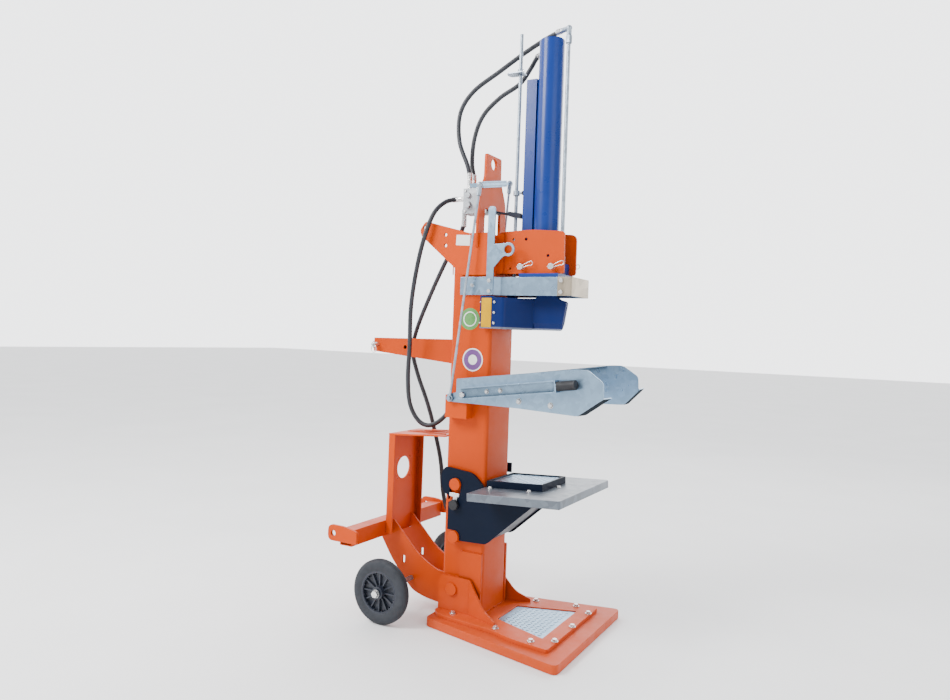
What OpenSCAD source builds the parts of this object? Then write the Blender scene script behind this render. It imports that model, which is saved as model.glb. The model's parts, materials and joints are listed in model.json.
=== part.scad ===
// Vertical hydraulic log splitter that hangs on a tractor's three-point hitch.
// Millimetres.  +X is the table side, +Z is up, the origin is under the column on the floor.

/* [Base] */
// Front edge of the base, measured from the column centre
base_front = 511; // [400:1:600]
// Rear edge of the base, measured from the column centre
base_rear = 102; // [95:1:160]
// Half width of the base at the front edge
base_front_half = 334; // [260:1:400]
// Half width of the base at the rear edge
base_rear_half = 201; // [150:1:260]
// Height of the folded base tray
base_height = 33; // [20:1:60]
// Thickness of the raised plate on the tray
rim_height = 14; // [6:1:20]

/* [Column] */
// Column depth along X
column_depth = 182; // [140:1:220]
// Column width along Y
column_width = 198; // [150:1:240]
// Column wall
column_wall = 8; // [4:1:14]
// Height of the open column top
column_top = 1540; // [1200:1:1700]
// Radius of the cross pins that carry the table
pin_r = 24; // [15:1:30]
// Height of the lowest cross pin
pin_first = 133; // [110:1:160]
// Spacing of the cross pins
pin_step = 206.5; // [150:0.5:220]

/* [Cylinder and blade] */
// Cylinder axis, measured from the column centre
cylinder_x = 270; // [230:1:300]
// Outer radius of the barrel
barrel_r = 50; // [40:1:60]
// Bore radius of the barrel
barrel_bore_r = 40; // [30:1:45]
// Top of the barrel
barrel_top = 2320; // [1800:1:2400]
// Radius of the piston rod
rod_r = 20; // [12:1:28]
// Half thickness of the splitting blade
blade_half = 12; // [8:1:20]
// Lowest edge of the raised blade
blade_bottom = 1168; // [1050:1:1200]

/* [Table] */
// Upward tilt of the table towards the front
table_tilt = 3.1; // [0:0.1:6]
// Height of the table top at its rear edge
table_rear_z = 549; // [500:1:600]
// Depth of the table top
table_depth = 376; // [250:1:450]
// Half width of the table top
table_half = 258; // [180:1:300]

/* [Hitch and wheels] */
// Radius of a transport wheel
wheel_r = 125; // [90:1:150]
// Distance of a wheel's middle from the middle of the machine
wheel_y = 285; // [240:1:320]
// Wheel axle position behind the column centre
wheel_x = 255; // [200:1:300]
// Radius of a lower link hole
link_hole_r = 11.2; // [9:0.1:15]
// Height of the lower link holes
link_hole_z = 333; // [300:1:380]
// Radius of the pump opening
pump_bore_r = 47; // [30:1:60]
// Height of the pump opening
pump_z = 560; // [450:1:620]

/* [Control arms] */
// Outward flare of each control arm
arm_flare = 4.5; // [0:0.1:10]
// Height of the arm pivots
arm_pivot_z = 905; // [880:1:930]
// Arm pivot position, measured from the column centre
arm_pivot_x = 10; // [0:1:30]
// How much higher the far arm rests than the near one, in degrees
far_lift = 1; // [0:0.1:2]

/* [Hidden] */
pin_x = -32;
rim_top = base_height + rim_height;
cx = column_depth / 2;
cy = column_width / 2;
pin_z = [pin_first, pin_first + pin_step, pin_first + 2 * pin_step];
tt = tan(table_tilt);
hose_r = 9.5;
stroke_x = 134;

// ---------- helpers ----------

// Points are [a, b, corner size]; a corner size of 0 keeps the corner sharp.
function flat(p) = [p[0], p[1]];
function unit(v) = v / norm(v);
function bend(a, b, c) =
  let (d = b[2], m = flat(b), p = m + unit(flat(a) - m) * d, q = m + unit(flat(c) - m) * d)
  d == 0 ? [m] : [for (i = [0:5]) let (t = i / 5)
    p * (1 - t) * (1 - t) + m * 2 * t * (1 - t) + q * t * t];
function smooth(points) =
  let (n = len(points))
  [for (i = [0:n - 1]) each bend(points[(i + n - 1) % n], points[i], points[(i + 1) % n])];
function mirrored(points) =
  concat(points, [for (i = [len(points) - 1:-1:0]) [points[i][0], -points[i][1], points[i][2]]]);
function swapped(points) = [for (p = points) [p[1], p[0], p[2]]];

module both_sides() {
  children();
  mirror([0, 1, 0]) children();
}

// Upright plate along X on the near side, from y = -inner to y = -(inner + thick).
module side_plate(points, inner, thick) {
  translate([0, -inner, 0])
    rotate([90, 0, 0])
      linear_extrude(thick)
        polygon(smooth(points));
}

// Plate seen from the front; points are [y, z, corner].
module front_plate(points, x0, thick) {
  translate([x0, 0, 0])
    rotate([90, 0, 90])
      linear_extrude(thick)
        polygon(smooth(points));
}

module floor_plate(points, z0, thick) {
  translate([0, 0, z0])
    linear_extrude(thick)
      polygon(smooth(points));
}

module y_rod(x, z, r, y0, y1, sides = 48) {
  translate([x, y0, z])
    rotate([-90, 0, 0])
      cylinder(h = y1 - y0, r = r, $fn = sides);
}

module x_rod(y, z, r, x0, x1, sides = 48) {
  translate([x0, y, z])
    rotate([0, 90, 0])
      cylinder(h = x1 - x0, r = r, $fn = sides);
}

module z_rod(x, y, r, z0, z1, sides = 48) {
  translate([x, y, z0])
    cylinder(h = z1 - z0, r = r, $fn = sides);
}

module block(x0, x1, y0, y1, z0, z1) {
  translate([x0, y0, z0])
    cube([x1 - x0, y1 - y0, z1 - z0]);
}

module pin_holes(r) {
  for (z = pin_z)
    y_rod(pin_x, z, r, -160, 160);
}

// ---------- base ----------

tray_half = [
  [-base_rear, base_rear_half, 26],
  [base_front, base_front_half, 30]
];
rim_half = [
  [-97, 139, 10], [-62, 172, 14], [57, 188, 10], [200, 205, 20],
  [284, 235, 20], [400, 250, 10], [442, 254, 12]
];

module base_tray() {
  color([0.85, 0.34, 0.12])
  difference() {
    floor_plate(mirrored(tray_half), 0, base_height);
    difference() {
      floor_plate(mirrored([[-base_rear + 6, base_rear_half - 8, 22],
        [base_front - 6, base_front_half - 10, 26]]), -1, base_height - 5);
      block(-60, 60, -400, 400, -2, base_height);
      block(300, 340, -400, 400, -2, base_height);
      block(-200, 600, -20, 20, -2, base_height);
    }
  }
}

module tread_window(grow, z0, thick) {
  floor_plate(mirrored([[159 - grow, 87 + grow, 4], [384 + grow, 167 + grow, 4]]), z0, thick);
}

module base_rim() {
  color([0.86, 0.35, 0.12])
  difference() {
    floor_plate(mirrored(rim_half), base_height, rim_height);
    tread_window(0, base_height - 1, rim_height + 2);
  }
}

module base_tread() {
  color([0.72, 0.75, 0.78])
    tread_window(-1, base_height, rim_height - 2);
}

module column() {
  color([0.85, 0.34, 0.12])
  difference() {
    floor_plate(mirrored([[-cx, cy, 16], [cx, cy, 16]]), rim_top, column_top - rim_top);
    floor_plate(mirrored([[-cx + column_wall, cy - column_wall, 10],
      [cx - column_wall, cy - column_wall, 10]]), rim_top - 1, column_top);
    pin_holes(pin_r);
  }
}

module gusset_side() {
  side_plate([[-6, 47, 0], [cx, 47, 0], [cx, 285, 0], [-6, 285, 22]], cy, 12);
  difference() {
    side_plate([[-93, 47, 0], [46, 47, 0], [46, 183, 0], [-80, 183, 10], [-93, 160, 12]],
      cy + 12, 10);
    y_rod(pin_x, pin_first, pin_r, -140, -80);
  }
  translate([45, -cy - 13, 0])
    rotate([0, 0, -17.5])
      side_plate([[0, 47, 0], [147, 47, 0], [147, 58, 6], [84, 84, 25], [30, 150, 20],
        [8, 182, 4], [0, 182, 0]], 0, 8);
}

module column_gussets() {
  color([0.85, 0.34, 0.12])
  both_sides()
    gusset_side();
}

module support_pins() {
  color([0.88, 0.37, 0.14])
  for (z = pin_z)
    y_rod(pin_x, z, pin_r, -130, 130);
}

// ---------- rear ----------

module rear_skirts() {
  color([0.85, 0.34, 0.12])
  difference() {
    both_sides()
      side_plate([[-417, 277, 6], [-408, 289, 0], [-364, 289, 0], [-364, 353, 0], [-352, 350, 8],
        [-228, 229, 34], [-160, 190, 20], [-123, 178, 10], [-cx, 178, 0], [-cx, 50, 0],
        [-117, 50, 10], [-179, 56, 25], [-249, 75, 30], [-354, 184, 30]], 66, 8);
    block(-303, -291, -80, 80, 180, 210);
    y_rod(-wheel_x, wheel_r, 10, -80, 80);
  }
}

module pump_plate() {
  color([0.85, 0.34, 0.12])
  difference() {
    floor_plate([[-370, -112, 4], [-338, -112, 0], [-338, -106, 0], [-364, -106, 0],
      [-364, 106, 0], [-338, 106, 0], [-338, 112, 0], [-370, 112, 4]], 300, 410);
    x_rod(0, pump_z, pump_bore_r, -380, -360, 64);
    for (y = [-43, 43])
      for (z = [-41.5, 41.5])
        x_rod(y, pump_z + z, 4.5, -380, -360, 24);
  }
}

module pump_shelf() {
  color([0.86, 0.35, 0.12]) {
    translate([0, 112, 0])
      rotate([90, 0, 0])
        linear_extrude(224)
          polygon([[-370, 710], [-338, 710], [-cx, 726], [-cx, 732], [-370, 716]]);
    for (a = [-17, 0, 17])
      translate([-358, 0, 714])
        rotate([0, 0, a])
          rotate([0, -3.3, 0])
            block(12, 258, -3, 3, -1, 6);
  }
}

module lower_link_beam() {
  color([0.85, 0.34, 0.12])
  difference() {
    block(-430, -370, -333, 333, 289, 352);
    block(-424, -376, -340, 340, 295, 346);
  }
}

module lower_link_lugs() {
  color([0.85, 0.34, 0.12])
  difference() {
    both_sides()
      side_plate([[-483, 303, 24], [-339, 303, 12], [-339, 352, 10], [-400, 366, 30],
        [-483, 366, 24]], 333, 12);
    y_rod(-456, link_hole_z, link_hole_r, -360, 360);
  }
}

module wheel_axle() {
  color([0.62, 0.64, 0.67]) {
    y_rod(-wheel_x, wheel_r, 10, -wheel_y - 33, wheel_y + 33);
    both_sides()
      y_rod(-wheel_x, wheel_r, 16, -wheel_y + 27, -wheel_y + 38);
  }
}

module tyre() {
  rotate([90, 0, 0])
    rotate_extrude($fn = 64)
      polygon([[82, -18], [100, -22], [117, -20], [124, -12], [125, -4], [125, 4], [124, 12],
        [117, 20], [100, 22], [82, 18]]);
}

module wheel_rim() {
  rotate([90, 0, 0]) {
    rotate_extrude($fn = 64)
      polygon([[10.3, -26], [24, -26], [26, -6], [74, -6], [74, -18], [82, -18], [82, 18],
        [74, 18], [74, 2], [26, 2], [24, 26], [10.3, 26]]);
    for (a = [0:30:330])
      rotate([0, 0, a])
        block(23, 75, -2.5, 2.5, 1, 12);
  }
}

module wheel_near_tyre() {
  color([0.16, 0.17, 0.19])
    translate([-wheel_x, -wheel_y, wheel_r])
      tyre();
}

module wheel_far_tyre() {
  color([0.16, 0.17, 0.19])
    translate([-wheel_x, wheel_y, wheel_r])
      tyre();
}

module wheel_near_rim() {
  color([0.22, 0.23, 0.26])
    translate([-wheel_x, -wheel_y, wheel_r])
      wheel_rim();
}

module wheel_far_rim() {
  color([0.22, 0.23, 0.26])
    translate([-wheel_x, wheel_y, wheel_r])
      mirror([0, 1, 0])
        wheel_rim();
}

module side_bolt(x, z, face) {
  y_rod(x, z, 8.5, -face - 7, -face, 6);
}

module frame_bolts() {
  color([0.78, 0.8, 0.83]) {
    for (p = [[434, 0], [434, 168], [434, -168], [362, 218], [362, -218], [199, 181],
      [199, -181], [-11, 140], [-11, -140]]) {
      z_rod(p[0], p[1], 13, rim_top, rim_top + 3, 32);
      z_rod(p[0], p[1], 9, rim_top + 3, rim_top + 10, 6);
    }
    side_bolt(8, 1338, cy + 10);
    side_bolt(86, 1356, cy + 16);
    side_bolt(86, 1315, cy + 16);
    mirror([0, 1, 0])
      side_bolt(8, 1338, cy + 10);
    mirror([0, 1, 0])
      side_bolt(78, 1338, cy + 10);
    both_sides() {
      side_bolt(380, 1358, 90);
      side_bolt(380, 1314, 90);
      y_rod(-wheel_x, wheel_r, 16, -wheel_y - 36, -wheel_y - 33, 32);
      y_rod(-wheel_x, wheel_r, 14, -wheel_y - 46, -wheel_y - 36, 6);
    }
  }
}

// ---------- top link ----------

module arm_box(half, lift, x0, x1) {
  translate([0, half, 0])
    rotate([90, 0, 0])
      linear_extrude(2 * half)
        polygon([[x0, 1056 + lift], [x0, 1114 - lift], [x1, 1120 - lift], [x1, 1017 + lift]]);
}

module top_link_arm() {
  color([0.85, 0.34, 0.12])
  difference() {
    arm_box(38, 0, -520, -cx);
    arm_box(31, 7, -530, -110);
    y_rod(-500, 1085, 9.5, -60, 60);
    y_rod(-355, 1078, 8, -60, 60, 32);
  }
}

module top_link_pin() {
  color([0.74, 0.77, 0.8]) {
    y_rod(-500, 1085, 9.5, -72, 62);
    y_rod(-500, 1085, 14, 38, 44, 32);
    y_rod(-500, 1085, 5, -80, -72, 24);
  }
}

// ---------- head ----------

module ear_plates() {
  color([0.87, 0.37, 0.14])
  difference() {
    both_sides()
      side_plate([[-253, 1569, 10], [-227, 1605, 14], [-144, 1582, 20], [-57, 1560, 10],
        [-20, 1548, 8], [cx, 1548, 0], [cx, 1380, 0], [-48, 1380, 8], [-84, 1412, 8],
        [-210, 1515, 10], [-245, 1542, 10]], cy, 10);
    y_rod(-227, 1576, 11, -120, 120);
    y_rod(-128, 1545, 7, -120, 120, 24);
    y_rod(-127, 1501, 7, -120, 120, 24);
  }
}

module head_plates() {
  color([0.87, 0.37, 0.14])
  difference() {
    union() {
      side_plate([[cx, 1387, 0], [377, 1387, 6], [376, 1541, 4], [367, 1549, 4],
        [239, 1559, 20], [119, 1554, 8], [cx, 1547, 0]], 55, 10);
      mirror([0, 1, 0])
        side_plate([[cx, 1387, 0], [377, 1387, 16], [377, 1549, 24], [239, 1559, 20],
          [119, 1554, 8], [cx, 1547, 0]], 55, 10);
      both_sides()
        side_plate([[cx, 1387, 0], [121, 1387, 6], [121, 1548, 10], [cx, 1540, 0]], 65, 9);
    }
    for (x = [202, 332])
      y_rod(x, 1413, 12, -80, 80);
    for (p = [[161, 1522, 6], [215, 1522, 6], [310, 1456, 6], [150, 1408, 4]])
      y_rod(p[0], p[1], p[2], -80, 80, 24);
  }
}

module lifting_mast() {
  mast = [
    [117, 1491, 4], [117, 1600, 12], [112, 1695, 20], [66, 1780, 16], [64, 1877, 10]
  ];
  inside = [[66, 1652, 6], [66, 1548, 0], [109, 1548, 0], [109, 1491, 0]];
  half = concat(mast, [for (i = [len(mast) - 1:-1:0]) [-mast[i][0], mast[i][1], mast[i][2]]]);
  back = concat([for (i = [len(inside) - 1:-1:0]) [-inside[i][0], inside[i][1], inside[i][2]]],
    inside);
  color([0.87, 0.37, 0.14])
  difference() {
    front_plate(concat(half, back), 16, 12);
    x_rod(0, 1842, 23, 0, 40);
  }
}

module guard_straps() {
  color([0.76, 0.79, 0.82])
  both_sides()
    floor_plate([[-50, -109, 0], [95, -109, 6], [125, -85, 6], [417, -85, 0], [417, -80, 0],
      [122, -80, 6], [93, -cy, 4], [-50, -cy, 0]], 1300, 72);
}

module guard_cap() {
  color([0.72, 0.7, 0.66])
    floor_plate([[364, -90, 0], [422, -90, 5], [422, 90, 5], [364, 90, 0], [364, 85, 0],
      [417, 85, 0], [417, -85, 0], [364, -85, 0]], 1300, 72);
}

module hanger_plate() {
  color([0.78, 0.8, 0.83])
  difference() {
    union() {
      side_plate([[70, 1300, 4], [102, 1300, 4], [102, 1408, 0], [140, 1450, 10],
        [186, 1464, 12], [188, 1494, 12], [150, 1503, 10], [102, 1500, 0], [102, 1650, 14],
        [70, 1650, 14]], cy + 10, 6);
      y_rod(163, 1478, 27, -cy - 16, -cy - 10, 32);
    }
    y_rod(163, 1478, 17, -140, -90, 32);
  }
}

// ---------- valve and controls ----------

module valve_body() {
  color([0.68, 0.7, 0.73])
  difference() {
    union() {
      block(-95, 16, -34, 34, 1640, 1745);
      block(-30, -2, -14, 14, 1745, 1748);
      y_rod(-70, 1676, 15, -46, 34, 6);
      y_rod(-70, 1716, 12, -42, 34, 6);
    }
    z_rod(-16, 0, 8.05, 1600, 1800);
  }
}

module hose_fittings() {
  color([0.74, 0.77, 0.8]) {
    for (y = [-18, 18]) {
      z_rod(-75, y, 13, 1745, 1757, 6);
      z_rod(-75, y, 11, 1757, 1780, 32);
    }
    x_rod(-20, 1705, 13, -107, -95, 6);
    x_rod(-20, 1705, 11, -122, -107, 32);
    x_rod(10, 1660, 10, -112, -95, 32);
    translate([-112, 10, 1660])
      sphere(r = 12, $fn = 32);
    z_rod(-112, 10, 11, 1624, 1660, 32);
    translate([cylinder_x, 0, 2290])
      rotate([0, 0, 145]) {
        x_rod(0, 0, 13, 60, 70, 6);
        x_rod(0, 0, 11, 70, 88, 32);
      }
    z_rod(-114, 62, 13, 985, 1045, 32);
    z_rod(-118, 80, 13, 462, 522, 32);
    block(-130, -cx, 44, 80, 1045, 1051);
    block(-134, -cx, 62, 97, 522, 528);
  }
}

module valve_spool() {
  color([0.8, 0.82, 0.84])
    z_rod(-16, 0, 8, 1625, 1757);
}

// The beam that joins the two control rods hangs lower on the near side.
module beam_frame() {
  translate([0, 0, 1762])
    rotate([11.8, 0, 0])
      translate([0, 0, -1765])
        children();
}

module rocker() {
  color([0.76, 0.79, 0.82])
  difference() {
    beam_frame() {
      block(30, 36, -104, 104, 1752, 1778);
      block(32, 40, -122, 122, 1760, 1770);
      block(-22, 36, 98, 104, 1757, 1773);
      block(-22, 36, -104, -98, 1757, 1773);
      block(-26, -6, -104, 104, 1757, 1773);
    }
    z_rod(-16, 0, 8, 1600, 1757);
  }
}

// Straight rod between two points.
module strut(a, b, r, sides = 24) {
  d = b - a;
  translate(a)
    rotate([0, acos(d[2] / norm(d)), atan2(d[1], d[0])])
      cylinder(h = norm(d), r = r, $fn = sides);
}

// A rod from a ball on the beam down to a pin on the arm; side is -1 near and 1 far.
module control_rod(side) {
  ball = [36, side * 129.2, 1762 + side * 27];
  foot = [-50, side * 159, 888];
  difference() {
    union() {
      strut(ball, foot, 5);
      translate(ball)
        sphere(r = 13, $fn = 32);
      strut(ball, ball + unit(foot - ball) * 43, 9);
      y_rod(-50, 888, 13, side * 159 - 4, side * 159 + 4, 32);
    }
    y_rod(-50, 888, 7.5, side * 160 - 10, side * 160 + 10, 32);
    beam_frame()
      block(20, 60, side * 116 - 6, side * 116 + 6, 1740, 1790);
  }
}

module control_rods() {
  color([0.76, 0.79, 0.82]) {
    control_rod(-1);
    control_rod(1);
  }
}

module stroke_lever() {
  color([0.3, 0.33, 0.4])
  difference() {
    union() {
      y_rod(38, 1646, 8, -40, 40, 32);
      translate([38, 0, 1646])
        rotate([0, 10, 0]) {
          block(0, 82, -14, 14, -4, 4);
          block(74, 132, -26, 26, -9, 9);
        }
    }
    block(118, 175, -16, 16, 1590, 1660);
  }
}

module stroke_rod() {
  color([0.76, 0.79, 0.82]) {
    z_rod(stroke_x, 0, 7, 1330, 2366, 32);
    difference() {
      floor_plate([[78, -24, 22], [150, -24, 0], [150, 24, 0], [78, 24, 22]], 2203, 5);
      z_rod(stroke_x, 0, 6, 2190, 2220, 32);
    }
    z_rod(stroke_x, 0, 12, 2208, 2222, 32);
    z_rod(stroke_x, 0, 13, 1708, 1728, 32);
    x_rod(0, 1718, 5, 146, 160, 24);
  }
}

module bracket_side() {
  side_plate([[-78, 810, 0], [20, 810, 0], [20, 878, 3], [32, 888, 3], [34, 914, 7],
    [22, 928, 7], [-2, 928, 8], [-18, 900, 0], [-78, 900, 0]], cy + 39, 7);
  block(-78, 20, -cy - 40, -cy, 893, 900);
  block(-78, 20, -cy - 40, -cy, 810, 817);
  block(13, 20, -cy - 40, -cy, 816, 894);
  y_rod(arm_pivot_x, arm_pivot_z, 10, -164, -141);
  y_rod(arm_pivot_x, arm_pivot_z, 11, -170, -163, 6);
}

module arm_brackets() {
  color([0.87, 0.37, 0.14])
  both_sides()
    bracket_side();
}

module arm_frame() {
  translate([-25, -150, 0])
    rotate([0, 0, -arm_flare])
      children();
}

module pivot_hole() {
  y_rod(arm_pivot_x, arm_pivot_z, 10.5, -240, -100);
}

// The lip is bent along the sloping front edge, which starts at corner and rises at slope.
module arm_plate(corner, slope, lip_length, lip_y0, lip_y1) {
  difference() {
    union() {
      arm_frame() {
        side_plate([[-42, 874, 8], [264, 873, 40], [corner[0], corner[1], 10], [629, 933, 6],
          [627, 989, 12], [566, 1031, 14], [520, 1031, 14], [1, 966, 3], [1, 912, 6],
          [-42, 904, 8]], 0, 4);
        translate([1, 0, 966])
          rotate([0, -7.14, 0])
            block(4, 500, -3, 14, -4, 0);
        translate([corner[0], 0, corner[1]])
          rotate([0, -slope, 0])
            block(0, lip_length, lip_y0, lip_y1, 0, 4);
      }
      y_rod(-50, 888, 5, -168, -150, 24);
      y_rod(-50, 888, 9, -172, -167, 6);
    }
    pivot_hole();
  }
}

// The far arm rests a little higher than the near one.
module far_arm() {
  mirror([0, 1, 0])
    translate([arm_pivot_x, 0, arm_pivot_z])
      rotate([0, -far_lift, 0])
        translate([-arm_pivot_x, 0, -arm_pivot_z])
          children();
}

// The channel frame runs up the sloping handle; its inner face lies on the arm plate.
module handle_frame() {
  arm_frame()
    translate([27, -34, 909.5])
      rotate([0, -7.6, 0])
        children();
}

module arm_handle() {
  difference() {
    handle_frame() {
      difference() {
        block(0, 432, 0, 30, -22.5, 22.5);
        block(-2, 426, -1, 26, -18.5, 18.5);
      }
      translate([0, 9, 0])
        x_rod(0, 0, 10, 430, 504, 32);
    }
    pivot_hole();
  }
}

module arm_grip() {
  handle_frame()
    translate([0, 9, 0])
    difference() {
      x_rod(0, 0, 18, 436, 510, 32);
      x_rod(0, 0, 10, 430, 504, 32);
    }
}

module arm_near_plate() {
  color([0.74, 0.78, 0.84])
    arm_plate([529, 864], 34.6, 120, -3, 70);
}

module arm_far_plate() {
  color([0.74, 0.78, 0.84])
  far_arm()
    arm_plate([571, 875], 45, 92, -74, -1);
}

module arm_near_handle() {
  color([0.7, 0.74, 0.8])
    arm_handle();
}

module arm_far_handle() {
  color([0.7, 0.74, 0.8])
  far_arm()
    arm_handle();
}

module arm_near_grip() {
  color([0.12, 0.13, 0.15])
    arm_grip();
}

module arm_far_grip() {
  color([0.12, 0.13, 0.15])
  far_arm()
    arm_grip();
}

// ---------- cylinder ----------

module cylinder_barrel() {
  color([0.14, 0.25, 0.56])
  difference() {
    union() {
      z_rod(cylinder_x, 0, barrel_r, 1387, barrel_top - 4, 64);
      z_rod(cylinder_x, 0, barrel_r - 4, barrel_top - 4, barrel_top, 64);
      x_rod(0, 1445, 12, cylinder_x + 40, cylinder_x + 55, 32);
      translate([cylinder_x, 0, 2290])
        rotate([0, 0, 145])
          x_rod(0, 0, 14, 40, 60, 32);
    }
    z_rod(cylinder_x, 0, barrel_bore_r, 1380, 2300, 64);
  }
}

module cylinder_saddle() {
  color([0.14, 0.25, 0.56])
  difference() {
    union() {
      translate([0, 78, 0])
        rotate([90, 0, 0])
          linear_extrude(156)
            polygon([[195, 1362], [207, 1350], [348, 1350], [360, 1362], [360, 1387],
              [195, 1387]]);
      block(322, 350, -54, 54, 1387, 1431);
    }
    z_rod(cylinder_x, 0, rod_r + 2, 1340, 1400);
    y_rod(332, 1413, 12, -60, 60);
  }
}

module cylinder_rail() {
  color([0.14, 0.25, 0.56])
  difference() {
    block(175, cylinder_x - barrel_r, -25, 25, 1387, 2167);
    block(180, cylinder_x - barrel_r - 5, -20, 20, 1380, 2162);
    y_rod(202, 1413, 12, -60, 60);
  }
}

module oil_pipe() {
  pipe_x = 340;
  color([0.6, 0.63, 0.68]) {
    block(cylinder_x + 55, 350, -13, 13, 1433, 1458);
    z_rod(pipe_x, 0, 7.5, 1458, 2300, 24);
    z_rod(pipe_x, 0, 13, 2298, 2328, 6);
    z_rod(pipe_x, 0, 10, 2328, 2358, 32);
    translate([pipe_x, 0, 2358])
      sphere(r = 12, $fn = 32);
    translate([pipe_x, 0, 2358])
      rotate([0, 0, 160])
        x_rod(0, 0, 10, 0, 34, 32);
  }
}

module cylinder_gland() {
  color([0.7, 0.72, 0.75])
  difference() {
    z_rod(cylinder_x, 0, barrel_bore_r, 1387, 1437, 64);
    z_rod(cylinder_x, 0, rod_r + 0.05, 1380, 1440, 64);
  }
}

module piston() {
  color([0.65, 0.67, 0.7])
    z_rod(cylinder_x, 0, barrel_bore_r - 0.05, 2240, 2290, 64);
}

module piston_rod() {
  color([0.85, 0.86, 0.88]) {
    z_rod(cylinder_x, 0, rod_r, 1326, 2240, 64);
    z_rod(cylinder_x, 0, 30, 1318, 1328);
  }
}

module cylinder_pins() {
  color([0.76, 0.79, 0.82])
  for (x = [202, 332]) {
    y_rod(x, 1413, 12, -88, 88);
    y_rod(x, 1413, 17, 66, 72, 32);
  }
}

// ---------- blade ----------

module splitting_blade() {
  color([0.16, 0.19, 0.27])
  intersection() {
    side_plate([[113, 1168, 0], [352, blade_bottom, 10], [371, 1282, 12], [336, 1290, 14],
      [318, 1318, 6], [244, 1318, 4], [244, 1293, 8], [147, 1293, 8], [147, 1330, 3],
      [119, 1330, 3], [113, 1310, 0]], -blade_half, 2 * blade_half);
    front_plate([[-blade_half, 1400, 0], [-blade_half, blade_bottom + 28, 0],
      [-1.5, blade_bottom, 0], [1.5, blade_bottom, 0], [blade_half, blade_bottom + 28, 0],
      [blade_half, 1400, 0]], 100, 300);
  }
}

module blade_carriage() {
  color([0.16, 0.19, 0.27]) {
    difference() {
      floor_plate([[52, -123, 0], [113, -123, 0], [113, 123, 0], [52, 123, 0], [52, 115, 0],
        [103, 115, 0], [103, -115, 0], [52, -115, 0]], blade_bottom, 128);
      for (side = [-1, 1])
        block(59, 103, side * 119 - 9, side * 119 + 9, 1173, 1288);
    }
    both_sides()
      floor_plate([[113, -123, 0], [155, -123, 10], [232, -blade_half, 0],
        [218, -blade_half, 0], [150, -113, 8], [113, -113, 0]], blade_bottom, 122);
  }
}

module wear_pads() {
  color([0.9, 0.76, 0.2]) {
    both_sides()
      block(59, 103, -124.5, -99.5, 1173, 1288);
    block(91.5, 103, -80, 80, 1184, 1280);
  }
}

module pad_bolts() {
  color([0.76, 0.79, 0.82])
  both_sides()
    for (z = [1190, 1231, 1272]) {
      y_rod(55.5, z, 3.4, -127, -123, 6);
      y_rod(116, z, 5, -127, -123, 24);
    }
}

// ---------- table ----------

// Height of the sheet's underside above the floor at a given X.
function under(x) = table_rear_z - 5 / cos(table_tilt) + (x - 96) * tt;

module table_frame() {
  translate([96, 0, table_rear_z])
    rotate([0, -table_tilt, 0])
      children();
}

module table_top() {
  color([0.74, 0.77, 0.8])
  table_frame()
  difference() {
    floor_plate(mirrored([[0, table_half, 6], [table_depth, table_half, 14]]), -30, 30);
    block(4, table_depth - 4, -table_half + 4, table_half - 4, -40, -5);
    block(-5, 6, -122, 122, -40, -5);
  }
}

module table_tread() {
  color([0.72, 0.75, 0.78])
  table_frame()
    block(18, 238, -106, 106, 0, 23);
}

module table_ring() {
  color([0.09, 0.13, 0.23])
  table_frame()
  difference() {
    block(10, 246, -114, 114, 0, 27);
    block(18, 238, -106, 106, -1, 30);
  }
}

module hook_cuts() {
  y_rod(pin_x, pin_z[2], pin_r + 0.6, -130, -90, 64);
  side_plate([[-56.6, 546, 0], [-66, 470, 0], [-12, 505, 0], [-7.4, 546, 0]], 90, 50);
  y_rod(pin_x, pin_z[1], pin_r + 0.6, -130, -90, 64);
  block(-90, pin_x, -140, -90, 290, pin_z[1] + pin_r + 0.6);
  block(-90, pin_x + pin_r + 0.6, -140, -90, 290, pin_z[1]);
  y_rod(-31, 466, 6.4, -130, -90, 32);
}

module table_arms() {
  color([0.08, 0.13, 0.23]) {
    both_sides()
    difference() {
      side_plate([[-84, 611, 14], [41, 598, 20], [82, 562, 12], [94, 540, 0],
        [97, under(97), 0], [330, under(330), 0], [330, 524, 8], [111, 330, 14], [1, 326, 6],
        [-8, 326, 0], [-64, 344, 0], [-64, 480, 14], [-66, 500, 6], [-86, 506, 12],
        [-100, 540, 20], [-100, 582, 12]], 106, 12);
      hook_cuts();
    }
    translate([0, 106, 0])
      rotate([90, 0, 0])
        linear_extrude(212)
          polygon([[112, 340], [300, 506], [297, 512], [109, 346]]);
    block(66, 94, 118, 126, 575, 614);
    block(20, 66, 118, 126, 575, 590);
  }
}

module table_latch() {
  color([0.76, 0.79, 0.82]) {
    y_rod(-31, 466, 6, -124, -104, 32);
    side_plate([[-40, 456, 4], [-22, 456, 4], [-22, 496, 0], [-13, 498, 3], [-13, 511, 3],
      [-57, 511, 3], [-57, 498, 3], [-40, 496, 0]], 118.6, 4);
    y_rod(-31, 466, 18, -138, -122.6, 32);
    y_rod(-31, 466, 12, -104, -100, 32);
  }
}

// ---------- hoses ----------

function cubic(p0, p1, p2, p3, t) =
  0.5 * ((2 * p1) + (p2 - p0) * t + (2 * p0 - 5 * p1 + 4 * p2 - p3) * t * t
    + (3 * p1 - p0 - 3 * p2 + p3) * t * t * t);
function route(points) =
  let (n = len(points))
  concat([points[0]], [for (i = [1:n - 3]) for (k = [0, 1])
    cubic(points[i - 1], points[i], points[i + 1], points[i + 2], k / 2)],
    [points[n - 2], points[n - 1]]);
function heading(p, i) = unit(p[min(i + 1, len(p) - 1)] - p[max(i - 1, 0)]);
function ring(p, i) =
  let (t = heading(p, i), u = unit(cross(t, [0, 1, 0])), v = cross(u, t))
  [for (k = [0:9]) p[i] + hose_r * (u * cos(k * 36) + v * sin(k * 36))];

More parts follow.
